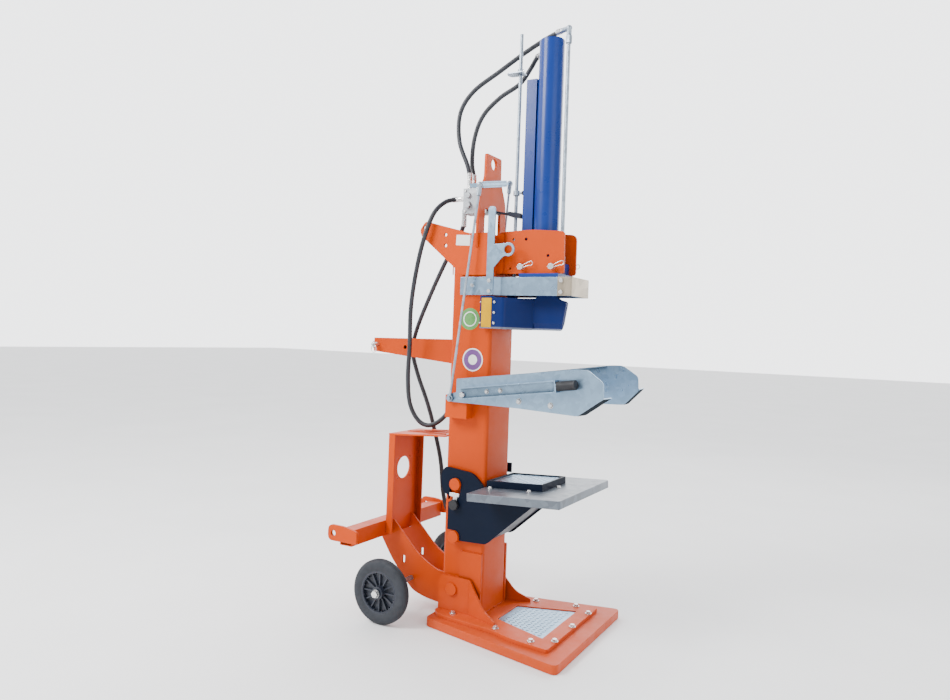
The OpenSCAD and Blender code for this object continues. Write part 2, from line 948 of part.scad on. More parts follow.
module hose(points) {
  p = route(points);
  n = len(p);
  rings = [for (i = [0:n - 1]) each ring(p, i)];
  walls = [for (i = [0:n - 2]) for (k = [0:9])
    [i * 10 + k, (i + 1) * 10 + k, (i + 1) * 10 + (k + 1) % 10, i * 10 + (k + 1) % 10]];
  lids = [[for (k = [0:9]) k], [for (k = [9:-1:0]) (n - 1) * 10 + k]];
  polyhedron(rings, concat(walls, lids));
}

outer_upper = [
  [-75, -18, 1781], [-75.4, -18, 1794], [-88, -21, 1845], [-130, -23, 1950],
  [-134, -16, 2070], [-80, -5, 2158], [22, 25, 2236], [120, 50, 2306],
  [215, 50, 2350], [295.4, 16.3, 2358], [307.1, 12, 2358]
];
inner_upper = [
  [-75, 18, 1781], [-75.4, 18, 1794], [-90, 20, 1868], [-82, 21, 1970],
  [-48, 26, 2060], [20, 42, 2132], [105, 52, 2182], [150, 58, 2242],
  [171, 61, 2278], [187, 58.1, 2290], [197.1, 51.1, 2290]
];
outer_lower = [
  [-123, -20, 1705], [-136, -20.5, 1704.6], [-160, -70, 1686], [-182, -122, 1630],
  [-218, -135, 1520], [-252, -132, 1380], [-276, -122, 1240], [-287, -104, 1090],
  [-303, -84, 950], [-302, -62, 840], [-262, -48, 770], [-208, -34, 758],
  [-150, -14, 806], [-118, 34, 900], [-114.2, 62, 971], [-114, 62, 984]
];
inner_lower = [
  [-112, 10, 1623], [-112.3, 10, 1611], [-130, 10, 1560], [-205, 22, 1446],
  [-290, 48, 1310], [-366, 66, 1160], [-388, 72, 1060], [-366, 84, 960],
  [-326, 112, 830], [-296, 132, 710], [-262, 136, 580], [-242, 132, 450],
  [-205, 116, 376], [-150, 96, 372], [-118.3, 80, 448], [-118, 80, 461]
];

module hose_outer_upper() {
  color([0.16, 0.19, 0.25])
    hose(outer_upper);
}

module hose_inner_upper() {
  color([0.16, 0.19, 0.25])
    hose(inner_upper);
}

module hose_outer_lower() {
  color([0.16, 0.19, 0.25])
    hose(outer_lower);
}

module hose_inner_lower() {
  color([0.16, 0.19, 0.25])
    hose(inner_lower);
}

// ---------- drawn nodes ----------

base_tray();
base_rim();
base_tread();
column();
column_gussets();
support_pins();
rear_skirts();
pump_plate();
pump_shelf();
lower_link_beam();
lower_link_lugs();
wheel_axle();
wheel_near_tyre();
wheel_near_rim();
wheel_far_tyre();
wheel_far_rim();
frame_bolts();
top_link_arm();
top_link_pin();
ear_plates();
head_plates();
lifting_mast();
guard_straps();
guard_cap();
hanger_plate();
valve_body();
hose_fittings();
valve_spool();
rocker();
control_rods();
stroke_lever();
stroke_rod();
arm_brackets();
arm_near_plate();
arm_near_handle();
arm_near_grip();
arm_far_plate();
arm_far_handle();
arm_far_grip();
cylinder_barrel();
cylinder_saddle();
cylinder_rail();
oil_pipe();
cylinder_gland();
piston();
piston_rod();
cylinder_pins();
splitting_blade();
blade_carriage();
wear_pads();
pad_bolts();
table_top();
table_tread();
table_ring();
table_arms();
table_latch();
hose_outer_upper();
hose_inner_upper();
hose_outer_lower();
hose_inner_lower();
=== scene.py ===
import json
import math
import random

import bmesh
import bpy
from mathutils import Matrix, Vector

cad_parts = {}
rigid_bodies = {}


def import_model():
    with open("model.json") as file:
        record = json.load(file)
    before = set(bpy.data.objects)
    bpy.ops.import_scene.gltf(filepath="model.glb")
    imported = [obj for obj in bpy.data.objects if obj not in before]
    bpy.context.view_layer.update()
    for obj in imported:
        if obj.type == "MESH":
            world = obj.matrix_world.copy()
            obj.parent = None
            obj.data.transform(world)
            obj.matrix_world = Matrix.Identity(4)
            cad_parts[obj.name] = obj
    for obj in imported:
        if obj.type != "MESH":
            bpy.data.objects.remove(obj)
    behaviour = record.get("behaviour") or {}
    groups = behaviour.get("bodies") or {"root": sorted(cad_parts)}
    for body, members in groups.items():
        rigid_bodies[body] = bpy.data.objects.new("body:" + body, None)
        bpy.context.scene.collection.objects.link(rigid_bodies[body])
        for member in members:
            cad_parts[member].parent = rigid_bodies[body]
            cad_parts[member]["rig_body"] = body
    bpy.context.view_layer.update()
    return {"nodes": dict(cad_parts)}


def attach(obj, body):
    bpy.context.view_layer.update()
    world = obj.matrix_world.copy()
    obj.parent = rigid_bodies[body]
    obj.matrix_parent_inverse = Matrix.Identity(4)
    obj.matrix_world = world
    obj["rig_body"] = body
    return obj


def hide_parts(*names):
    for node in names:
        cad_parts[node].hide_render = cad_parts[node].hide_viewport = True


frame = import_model()
NODES = frame["nodes"]
MM = 0.001

# ---------------------------------------------------------------- camera

YAW, PITCH, ROLL = math.radians(29.29), math.radians(1.34), math.radians(2.057)
CAMERA_SPOT = (1.515, -2.759, 1.141)
SENSOR_WIDTH, LENS = 36, 29.04
SHIFT_X, SHIFT_Y = -0.0012, -0.0347


def make_camera():
    """A camera at the reference view's place and angle, slightly rolled."""
    forward = Vector(
        (-math.sin(YAW) * math.cos(PITCH), math.cos(YAW) * math.cos(PITCH), math.sin(PITCH))
    )
    right = Vector((math.cos(YAW), math.sin(YAW), 0))
    up = right.cross(forward)
    right_rolled = right * math.cos(ROLL) + up * math.sin(ROLL)
    up_rolled = up * math.cos(ROLL) - right * math.sin(ROLL)
    data = bpy.data.cameras.new("camera")
    data.sensor_width = SENSOR_WIDTH
    data.lens = LENS
    data.shift_x = SHIFT_X
    data.shift_y = SHIFT_Y
    cam = bpy.data.objects.new("camera", data)
    bpy.context.scene.collection.objects.link(cam)
    turn = Matrix((right_rolled, up_rolled, -forward)).transposed()
    cam.matrix_world = Matrix.Translation(CAMERA_SPOT) @ turn.to_4x4()
    bpy.context.scene.camera = cam


make_camera()

# ---------------------------------------------------------------- materials


def shader(name):
    mat = bpy.data.materials.new(name)
    mat.use_nodes = True
    tree = mat.node_tree
    return mat, tree, tree.nodes["Principled BSDF"]


def add(tree, kind, **values):
    node = tree.nodes.new(kind)
    for key, value in values.items():
        setattr(node, key, value)
    return node


def place(tree):
    """Object coordinates, so a pattern stays on its piece when it moves."""
    return add(tree, "ShaderNodeTexCoord").outputs["Object"]


def noise(tree, scale, detail=4.0, rough=0.55):
    node = add(tree, "ShaderNodeTexNoise")
    node.inputs["Scale"].default_value = scale
    node.inputs["Detail"].default_value = detail
    node.inputs["Roughness"].default_value = rough
    tree.links.new(place(tree), node.inputs["Vector"])
    return node.outputs["Fac"]


def ramp(tree, factor, stops):
    """Maps a factor to colours, given as (position, colour) stops."""
    node = add(tree, "ShaderNodeValToRGB")
    while len(node.color_ramp.elements) < len(stops):
        node.color_ramp.elements.new(0.5)
    for element, (at, colour) in zip(node.color_ramp.elements, stops):
        element.position = at
        element.color = colour
    tree.links.new(factor, node.inputs["Fac"])
    return node.outputs["Color"]


def grey(v):
    return (v, v, v, 1)


def mixed(tree, factor, a, b):
    """Mixes two colours; each of them, and the factor, is a value or a socket."""
    node = add(tree, "ShaderNodeMix", data_type="RGBA")
    if isinstance(factor, float):
        node.inputs["Factor"].default_value = factor
    else:
        tree.links.new(factor, node.inputs["Factor"])
    for value, socket in ((a, node.inputs["A"]), (b, node.inputs["B"])):
        if isinstance(value, tuple):
            socket.default_value = value
        else:
            tree.links.new(value, socket)
    return node.outputs["Result"]


def painted_corner_shade(tree, colour, reach, depth):
    """Painted shade: darkens the base colour in inner corners, where shade falls."""
    corner = add(tree, "ShaderNodeAmbientOcclusion", only_local=True, samples=6)
    corner.inputs["Distance"].default_value = reach
    level = ramp(tree, corner.outputs["AO"], [(0.45, grey(depth)), (1.0, grey(1.0))])
    node = add(tree, "ShaderNodeMix", data_type="RGBA", blend_type="MULTIPLY")
    node.inputs["Factor"].default_value = 1.0
    tree.links.new(colour, node.inputs["A"])
    tree.links.new(level, node.inputs["B"])
    return node.outputs["Result"]


def bumps(tree, bsdf, height, strength, distance):
    node = add(tree, "ShaderNodeBump")
    node.inputs["Strength"].default_value = strength
    node.inputs["Distance"].default_value = distance
    tree.links.new(height, node.inputs["Height"])
    tree.links.new(node.outputs["Normal"], bsdf.inputs["Normal"])


def srgb(r, g, b):
    """Linear colour of an 8-bit one."""
    return (*(((c / 255 + 0.055) / 1.055) ** 2.4 for c in (r, g, b)), 1)


def shade(colour, k):
    return (*(min(1, c * k) for c in colour[:3]), 1)


def map_range(tree, value, start, end, low, high):
    node = add(tree, "ShaderNodeMapRange")
    node.inputs["From Min"].default_value = start
    node.inputs["From Max"].default_value = end
    node.inputs["To Min"].default_value = low
    node.inputs["To Max"].default_value = high
    tree.links.new(value, node.inputs["Value"])
    return node


def height_above_floor(tree):
    split = add(tree, "ShaderNodeSeparateXYZ")
    tree.links.new(place(tree), split.inputs["Vector"])
    return split.outputs["Z"]


GRAIN_DEPTH = 0.0004
DUST_TOP, DUST_AMOUNT = 0.14, 0.1
DUST = (0.42, 0.36, 0.3, 1)


def paint(name, colour, rough, worn=None, coat=0.03, shine=0.12):
    """Sprayed enamel: broad tone changes, orange peel, fine scratches and dust low down."""
    mat, tree, bsdf = shader(name)
    broad = ramp(tree, noise(tree, 2.4), [(0.35, shade(colour, 0.9)), (0.68, shade(colour, 1.08))])
    rub = ramp(tree, noise(tree, 26, 6, 0.7), [(0.62, grey(0)), (0.78, grey(0.35))])
    tone = mixed(tree, rub, broad, worn or shade(colour, 0.72))
    low = map_range(tree, height_above_floor(tree), 0.0, DUST_TOP, DUST_AMOUNT, 0.0)
    dust = add(tree, "ShaderNodeMath", operation="MULTIPLY")
    tree.links.new(low.outputs["Result"], dust.inputs[0])
    tree.links.new(noise(tree, 40, 5), dust.inputs[1])
    dusty = mixed(tree, dust.outputs[0], tone, DUST)
    # painted shade in the inner corners, multiplied into the enamel's colour
    tree.links.new(painted_corner_shade(tree, dusty, 0.05, 0.45), bsdf.inputs["Base Color"])
    stops = [(0.3, grey(rough - 0.06)), (0.75, grey(rough + 0.14))]
    gloss = ramp(tree, noise(tree, 14, 6, 0.7), stops)
    tree.links.new(gloss, bsdf.inputs["Roughness"])
    bsdf.inputs["Coat Weight"].default_value = coat
    bsdf.inputs["Specular IOR Level"].default_value = shine
    bsdf.inputs["Coat Roughness"].default_value = 0.22
    bumps(tree, bsdf, noise(tree, 420, 2), 0.12, GRAIN_DEPTH)
    return mat


def zinc(name, dark, light, tint, rough=0.4, cell=55, metal=0.8):
    """Hot-dip galvanised steel: crystal cells of different greys and gloss."""
    mat, tree, bsdf = shader(name)
    cells = add(tree, "ShaderNodeTexVoronoi")
    cells.inputs["Scale"].default_value = cell
    tree.links.new(place(tree), cells.inputs["Vector"])
    split = add(tree, "ShaderNodeSeparateColor")
    tree.links.new(cells.outputs["Color"], split.inputs["Color"])
    low, high = shade(tint, dark), shade(tint, light)
    spangle = ramp(tree, split.outputs["Red"], [(0.0, low), (1.0, high)])
    cloud = ramp(tree, noise(tree, 7, 5), [(0.3, shade(low, 1.1)), (0.7, shade(high, 0.95))])
    # painted shade in the inner corners, multiplied into the zinc's colour
    tone = painted_corner_shade(tree, mixed(tree, 0.3, spangle, cloud), 0.03, 0.25)
    tree.links.new(tone, bsdf.inputs["Base Color"])
    bsdf.inputs["Metallic"].default_value = metal
    stops = [(0, grey(rough - 0.03)), (1, grey(rough + 0.05))]
    tree.links.new(ramp(tree, split.outputs["Green"], stops), bsdf.inputs["Roughness"])
    bumps(tree, bsdf, noise(tree, 180, 4), 0.1, GRAIN_DEPTH)
    return mat


def plain(name, colour, rough, metal, grain, strength, spread=0.12, shine=0.5):
    """Moulded, rubber or machined surface with a fine grain."""
    mat, tree, bsdf = shader(name)
    tones = [(0.3, shade(colour, 1 - spread)), (0.7, shade(colour, 1 + spread))]
    tree.links.new(ramp(tree, noise(tree, 18, 5), tones), bsdf.inputs["Base Color"])
    gloss = [(0.3, grey(rough - 0.07)), (0.7, grey(rough + 0.08))]
    tree.links.new(ramp(tree, noise(tree, 60, 5), gloss), bsdf.inputs["Roughness"])
    bsdf.inputs["Metallic"].default_value = metal
    bsdf.inputs["Specular IOR Level"].default_value = shine
    bumps(tree, bsdf, noise(tree, grain, 3), strength, GRAIN_DEPTH)
    return mat


GROUND_EDGE_TOP = (1.1735, 1.1765)
GROUND_STEEL = (0.16, 0.18, 0.24, 1)


def blade_material():
    """Dark enamel with a bright ground cutting edge along the bottom."""
    mat = paint("blade_enamel", (0.004, 0.013, 0.085, 1), 0.34)
    tree = mat.node_tree
    bsdf = tree.nodes["Principled BSDF"]
    base = bsdf.inputs["Base Color"].links[0].from_socket
    edge = map_range(tree, height_above_floor(tree), *GROUND_EDGE_TOP, 1.0, 0.0)
    bare = edge.outputs["Result"]
    tree.links.new(mixed(tree, bare, base, GROUND_STEEL), bsdf.inputs["Base Color"])
    tree.links.new(bare, bsdf.inputs["Metallic"])
    return mat


def hose_material():
    """Black rubber hose with the fine ripple of a wrapped cover."""
    mat, tree, bsdf = shader("hose_cover")
    stops = [(0.3, (0.006, 0.008, 0.012, 1)), (0.72, (0.018, 0.021, 0.030, 1))]
    tree.links.new(ramp(tree, noise(tree, 30, 4), stops), bsdf.inputs["Base Color"])
    bsdf.inputs["Roughness"].default_value = 0.46
    waves = add(tree, "ShaderNodeTexWave")
    waves.inputs["Scale"].default_value = 190
    waves.inputs["Distortion"].default_value = 0.4
    tree.links.new(place(tree), waves.inputs["Vector"])
    bumps(tree, bsdf, waves.outputs["Fac"], 0.35, 0.0006)
    return mat


ORANGE = paint("orange_enamel", (0.50, 0.050, 0.0004, 1), 0.4, (0.31, 0.032, 0.0006, 1))
# Lighter copy of the same orange enamel for some parts: painted light.
ORANGE_PAINTED_LIT = paint(
    "orange_enamel_painted_lit", (0.53, 0.055, 0.0005, 1), 0.42, (0.33, 0.036, 0.0008, 1)
)
BLUE = paint(
    "blue_enamel", (0.004, 0.030, 0.20, 1), 0.3, (0.006, 0.022, 0.13, 1), coat=0.2, shine=0.22
)
NAVY = paint(
    "black_enamel", (0.004, 0.008, 0.020, 1), 0.36, (0.014, 0.018, 0.028, 1), coat=0.0, shine=0.08
)
ZINC = zinc("galvanised", 0.30, 0.50, (0.82, 0.96, 1.12))
ZINC_PALE = zinc("galvanised_sheet", 0.35, 0.46, (0.62, 0.91, 1.22), 0.3, 60, 0.88)
ZINC_TABLE = zinc("galvanised_table", 0.10, 0.17, (0.80, 0.95, 1.14), 0.34, 36, 0.25)
# Near-black colour for the sheets on the arm lips: painted shade.
LIP_PAINTED_SHADE = plain("lip_painted_shadow", (0.010, 0.016, 0.022, 1), 0.9, 0.0, 260, 0.1, shine=0.05)
CAST = plain("cast_valve", (0.34, 0.36, 0.38, 1), 0.5, 0.5, 220, 0.4, 0.14)
ZINC_WARM = zinc("passivated_zinc", 0.24, 0.44, (1.15, 0.98, 0.74), 0.36, 20)
FASTENER = zinc("plated_fastener", 0.6, 0.78, (1.0, 1.0, 1.0), 0.26, 240, 0.9)
STEEL = plain("machined_steel", (0.5, 0.52, 0.55, 1), 0.24, 1.0, 500, 0.08)
CHROME = plain("chromed_rod", (0.72, 0.73, 0.75, 1), 0.1, 1.0, 800, 0.02, 0.03)
YELLOW = plain("yellow_nylon", (0.54, 0.29, 0.0001, 1), 0.7, 0.0, 160, 0.2, shine=0.05)
RUBBER = plain("tyre_rubber", (0.016, 0.019, 0.026, 1), 0.72, 0.0, 260, 0.4, 0.18)
RIM = plain("rim_plastic", (0.014, 0.018, 0.030, 1), 0.42, 0.0, 340, 0.2)
GRIP = plain("grip_rubber", (0.006, 0.007, 0.010, 1), 0.6, 0.0, 420, 0.4)
BLADE = blade_material()
LEVER = paint("lever_enamel", (0.022, 0.026, 0.040, 1), 0.4)
HOSE = hose_material()
GREEN = plain("green_sticker", (0.09, 0.27, 0.07, 1), 0.3, 0.0, 300, 0.02, 0.04)
WHITE = plain("white_sticker", srgb(232, 232, 228), 0.34, 0.0, 300, 0.02, 0.03)
PURPLE = plain("purple_sticker", srgb(104, 62, 124), 0.32, 0.0, 300, 0.02, 0.04)

# ---------------------------------------------------------------- mesh helpers


SMOOTH_ANGLE = 38
BEVEL_ANGLE = 40


def link(name, mesh, material, body, smooth_angle):
    """Puts a mesh in the scene as a piece of a moving body, smooth but for its sharp edges."""
    for polygon in mesh.polygons:
        polygon.use_smooth = True
    mesh.set_sharp_from_angle(angle=math.radians(smooth_angle))
    mesh.materials.clear()
    mesh.materials.append(material)
    thing = bpy.data.objects.new(name, mesh)
    bpy.context.scene.collection.objects.link(thing)
    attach(thing, body)
    return thing


def from_bmesh(name, bm, material, body, smooth_angle=SMOOTH_ANGLE):
    mesh = bpy.data.meshes.new(name)
    bmesh.ops.recalc_face_normals(bm, faces=bm.faces)
    bm.to_mesh(mesh)
    bm.free()
    return link(name, mesh, material, body, smooth_angle)


def round_edges(thing, width, segments=2):
    bevel = thing.modifiers.new("edge", "BEVEL")
    bevel.width = width
    bevel.segments = segments
    bevel.limit_method = "ANGLE"
    bevel.angle_limit = math.radians(BEVEL_ANGLE)
    bevel.use_clamp_overlap = True
    bevel.harden_normals = True


def soften(node, material, width, segments):
    """Shows a CAD node with its sharp edges rounded and its own finish."""
    source = NODES[node]
    bm = bmesh.new()
    bm.from_mesh(source.data)
    bmesh.ops.remove_doubles(bm, verts=bm.verts, dist=3e-6)
    bmesh.ops.dissolve_limit(bm, angle_limit=math.radians(0.5), verts=bm.verts, edges=bm.edges)
    shell = from_bmesh(node + "_shell", bm, material, source["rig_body"])
    round_edges(shell, width, segments)
    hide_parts(node)


def aim(axis):
    """Turns the Z axis towards the given one."""
    return Vector(axis).to_track_quat("Z", "Y").to_matrix().to_4x4()


def tube_between(bm, a, b, radius, sides, radius_b=None):
    a, b = Vector(a), Vector(b)
    bmesh.ops.create_cone(
        bm,
        cap_ends=True,
        segments=sides,
        radius1=radius,
        radius2=radius if radius_b is None else radius_b,
        depth=(b - a).length,
        matrix=Matrix.Translation((a + b) / 2) @ aim(b - a),
    )


def join_rings(bm, here, there):
    """Fills the strip between two closed rings of points."""
    for i in range(len(here)):
        j = (i + 1) % len(here)
        bm.faces.new((here[i], here[j], there[j], there[i]))


def lathe(bm, profile, centre, axis, sides):
    """Turns a closed (radius, height) profile about an axis."""
    turn = Matrix.Translation(centre) @ aim(axis)
    rings = []
    for k in range(sides):
        a = 2 * math.pi * k / sides
        points = [Vector((r * math.cos(a), r * math.sin(a), h)) for r, h in profile]
        rings.append([bm.verts.new(turn @ point) for point in points])
    for k in range(sides):
        join_rings(bm, rings[k], rings[(k + 1) % sides])


def torus(bm, centre, axis, major, minor, sides, around=8):
    """A ring of round wire."""
    steps = [2 * math.pi * i / around for i in range(around)]
    profile = [(major + minor * math.cos(a), minor * math.sin(a)) for a in steps]
    lathe(bm, profile, centre, axis, sides)


def slab(bm, low, high):
    """A box between two corners."""
    for v in bmesh.ops.create_cube(bm, size=1.0)["verts"]:
        v.co = Vector([low[i] + (v.co[i] + 0.5) * (high[i] - low[i]) for i in range(3)])


def mm(*values):
    """A point given in millimetres."""
    return Vector([v * MM for v in values])


# ---------------------------------------------------------------- hoses


def cubic(p0, p1, p2, p3, t):
    """Point on the smooth curve from p1 to p2, with p0 and p3 as its neighbours."""
    return 0.5 * (
        2 * p1
        + (p2 - p0) * t
        + (2 * p0 - 5 * p1 + 4 * p2 - p3) * t * t
        + (3 * p1 - p0 - 3 * p2 + p3) * t * t * t
    )


def dense(points, parts):
    """A smooth line through the points; its first and last stretches stay straight."""
    points = [Vector(p) for p in points]
    line = [points[0]]
    for i in range(1, len(points) - 2):
        for k in range(parts):
            line.append(cubic(*points[i - 1 : i + 3], k / parts))
    return line + points[-2:]


HOSE_DIAMETER = 0.019
HOSE_STEPS = 6
NUT_LENGTH, FERRULE_LENGTH = 0.006, 0.030
ROUTES = {
    "hose_outer_upper": [
        (-0.075, -0.018, 1.781), (-0.0754, -0.018, 1.794), (-0.088, -0.021, 1.845),
        (-0.13, -0.023, 1.95), (-0.134, -0.016, 2.07), (-0.08, -0.005, 2.158),
        (0.022, 0.025, 2.236), (0.12, 0.05, 2.306), (0.215, 0.05, 2.35),
        (0.2954, 0.0163, 2.358), (0.3071, 0.012, 2.358),
    ],
    "hose_inner_upper": [
        (-0.075, 0.018, 1.781), (-0.0754, 0.018, 1.794), (-0.09, 0.02, 1.868),
        (-0.082, 0.021, 1.97), (-0.048, 0.026, 2.06), (0.02, 0.042, 2.132),
        (0.105, 0.052, 2.182), (0.15, 0.058, 2.242), (0.171, 0.061, 2.278),
        (0.187, 0.0581, 2.29), (0.1971, 0.0511, 2.29),
    ],
    "hose_outer_lower": [
        (-0.123, -0.02, 1.705), (-0.136, -0.0205, 1.7046), (-0.16, -0.07, 1.686),
        (-0.182, -0.122, 1.63), (-0.218, -0.135, 1.52), (-0.252, -0.132, 1.38),
        (-0.276, -0.122, 1.24), (-0.287, -0.104, 1.09), (-0.303, -0.084, 0.95),
        (-0.302, -0.062, 0.84), (-0.262, -0.048, 0.77), (-0.208, -0.034, 0.758),
        (-0.15, -0.014, 0.806), (-0.118, 0.034, 0.9), (-0.1142, 0.062, 0.971),
        (-0.114, 0.062, 0.984),
    ],
    "hose_inner_lower": [
        (-0.112, 0.01, 1.623), (-0.1123, 0.01, 1.611), (-0.13, 0.01, 1.56),
        (-0.205, 0.022, 1.446), (-0.29, 0.048, 1.31), (-0.366, 0.066, 1.16),
        (-0.388, 0.072, 1.06), (-0.366, 0.084, 0.96), (-0.326, 0.112, 0.83),
        (-0.296, 0.132, 0.71), (-0.262, 0.136, 0.58), (-0.242, 0.132, 0.45),
        (-0.205, 0.116, 0.376), (-0.15, 0.096, 0.372), (-0.1183, 0.08, 0.448),
        (-0.118, 0.08, 0.461),
    ],
}


def make_hose(node):
    """A hose along its route, with a crimped ferrule at each end; returns its length."""
    line = dense(ROUTES[node], HOSE_STEPS)
    curve = bpy.data.curves.new(node + "_line", "CURVE")
    curve.dimensions = "3D"
    curve.bevel_depth = HOSE_DIAMETER / 2
    curve.bevel_resolution = 6
    curve.use_fill_caps = True
    spline = curve.splines.new("POLY")
    spline.points.add(len(line) - 1)
    for point, co in zip(spline.points, line):
        point.co = (*co, 1)
    curve.materials.append(HOSE)
    hose = bpy.data.objects.new(node + "_tube", curve)
    bpy.context.scene.collection.objects.link(hose)
    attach(hose, "frame")
    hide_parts(node)
    length = sum((b - a).length for a, b in zip(line, line[1:]))
    for tag, a, b in (("start", line[0], line[1]), ("end", line[-1], line[-2])):
        way = (b - a).normalized()
        bm = bmesh.new()
        tube_between(bm, a - way * 0.001, a + way * NUT_LENGTH, 0.0118, 6)
        tube_between(bm, a + way * NUT_LENGTH, a + way * FERRULE_LENGTH, 0.0112, 32)
        for k in range(4):
            spot = a + way * (0.009 + 0.006 * k)
            torus(bm, spot, way, 0.0110, 0.0011, 32)
        ferrule = from_bmesh(f"{node}_ferrule_{tag}", bm, FASTENER, "frame")
        round_edges(ferrule, 0.0005)
    return length


hose_lengths = {node: make_hose(node) for node in ROUTES}

# ---------------------------------------------------------------- CAD nodes with their finish

# material, width of the rounded edge and its number of steps
FINISH = {
    "base_tray": (ORANGE, 0.005, 3),
    "base_rim": (ORANGE_PAINTED_LIT, 0.0025, 3),
    "column": (ORANGE, 0.0012, 2),
    "column_gussets": (ORANGE, 0.0012, 2),
    "support_pins": (ORANGE_PAINTED_LIT, 0.0022, 3),
    "rear_skirts": (ORANGE, 0.0010, 2),
    "pump_plate": (ORANGE, 0.0010, 2),
    "pump_shelf": (ORANGE_PAINTED_LIT, 0.0010, 2),
    "lower_link_beam": (ORANGE, 0.0018, 2),
    "lower_link_lugs": (ORANGE, 0.0014, 2),
    "top_link_arm": (ORANGE, 0.0020, 2),
    "ear_plates": (ORANGE_PAINTED_LIT, 0.0012, 2),
    "head_plates": (ORANGE_PAINTED_LIT, 0.0012, 2),
    "lifting_mast": (ORANGE_PAINTED_LIT, 0.0014, 2),
    "arm_brackets": (ORANGE_PAINTED_LIT, 0.0010, 2),
    "wheel_axle": (ZINC, 0.0010, 2),
    "frame_bolts": (FASTENER, 0.0008, 2),
    "top_link_pin": (FASTENER, 0.0010, 2),
    "guard_straps": (ZINC_PALE, 0.0008, 2),
    "guard_cap": (ZINC_WARM, 0.0010, 2),
    "hanger_plate": (ZINC_PALE, 0.0010, 2),
    "hose_fittings": (FASTENER, 0.0008, 2),
    "valve_body": (CAST, 0.0015, 2),
    "valve_spool": (STEEL, 0.0008, 2),
    "rocker": (ZINC_PALE, 0.0007, 2),
    "control_rods": (ZINC, 0.0006, 2),
    "stroke_lever": (LEVER, 0.0008, 2),
    "stroke_rod": (ZINC, 0.0007, 2),
    "arm_near_plate": (ZINC_PALE, 0.0008, 2),
    "arm_far_plate": (ZINC_PALE, 0.0008, 2),
    "arm_near_handle": (ZINC_PALE, 0.0012, 2),
    "arm_far_handle": (ZINC_PALE, 0.0012, 2),
    "arm_near_grip": (GRIP, 0.0020, 3),
    "arm_far_grip": (GRIP, 0.0020, 3),
    "cylinder_barrel": (BLUE, 0.0015, 2),
    "cylinder_saddle": (BLUE, 0.0015, 2),
    "cylinder_rail": (BLUE, 0.0025, 3),
    "oil_pipe": (ZINC, 0.0008, 2),
    "cylinder_gland": (STEEL, 0.0008, 2),
    "piston": (STEEL, 0.0008, 2),
    "piston_rod": (CHROME, 0.0008, 2),
    "cylinder_pins": (FASTENER, 0.0014, 2),
    "splitting_blade": (BLADE, 0.0006, 2),
    "blade_carriage": (BLADE, 0.0012, 2),
    "wear_pads": (YELLOW, 0.0012, 2),
    "pad_bolts": (FASTENER, 0.0008, 2),
    "table_top": (ZINC_TABLE, 0.0022, 3),
    "table_ring": (NAVY, 0.0014, 2),
    "table_arms": (NAVY, 0.0012, 2),
    "table_latch": (FASTENER, 0.0010, 2),
    "wheel_near_rim": (RIM, 0.0008, 2),
    "wheel_far_rim": (RIM, 0.0008, 2),
}
for node_name, (finish_material, edge_width, edge_steps) in FINISH.items():
    soften(node_name, finish_material, edge_width, edge_steps)

# ---------------------------------------------------------------- tyres


WHEEL_X, WHEEL_Y, WHEEL_Z = -255, 285, 125
HALF_TYRE = [
    (82, 18), (90, 20.5), (100, 22), (108, 21.6), (115, 20), (120, 16.5), (122.5, 13),
    (123.8, 11), (122.2, 10), (122.2, 9), (124.6, 8), (125, 4), (123.2, 3), (123.2, 2),
]


def make_tyre(body, side):
    """Tyre with two grooves in its tread, as (radius, half width) in millimetres."""
    profile = [(r * MM, h * MM) for r, h in HALF_TYRE]
    profile += [(r * MM, -h * MM) for r, h in reversed(HALF_TYRE)]
    bm = bmesh.new()
    lathe(bm, profile, mm(WHEEL_X, side * WHEEL_Y, WHEEL_Z), (0, 1, 0), 128)
    tyre = from_bmesh(f"{body}_tyre_shell", bm, RUBBER, body, 50)
    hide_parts(f"{body}_tyre")


make_tyre("wheel_near", -1)
make_tyre("wheel_far", 1)

# ---------------------------------------------------------------- tread plates


TREAD_STEP = 0.019
TREAD_RAISE = 0.0016
TREAD_EDGE = 0.010
LOZENGE_SIDES = 12


def lens(bm, centre, along, across, up, length, width, height):
    """One raised lozenge of a tread plate."""
    rings = []
    for level, keep in ((0.0, 1.0), (0.6, 0.78), (1.0, 0.42)):
        ring = []
        for k in range(LOZENGE_SIDES):
            a = 2 * math.pi * k / LOZENGE_SIDES
            x = length / 2 * math.cos(a) * keep
            y = width / 2 * math.sin(a) * abs(math.sin(a)) ** 0.3 * keep
            ring.append(bm.verts.new(centre + along * x + across * y + up * (height * level)))
        rings.append(ring)
    for here, there in zip(rings, rings[1:]):
        join_rings(bm, here, there)
    bm.faces.new(rings[-1])


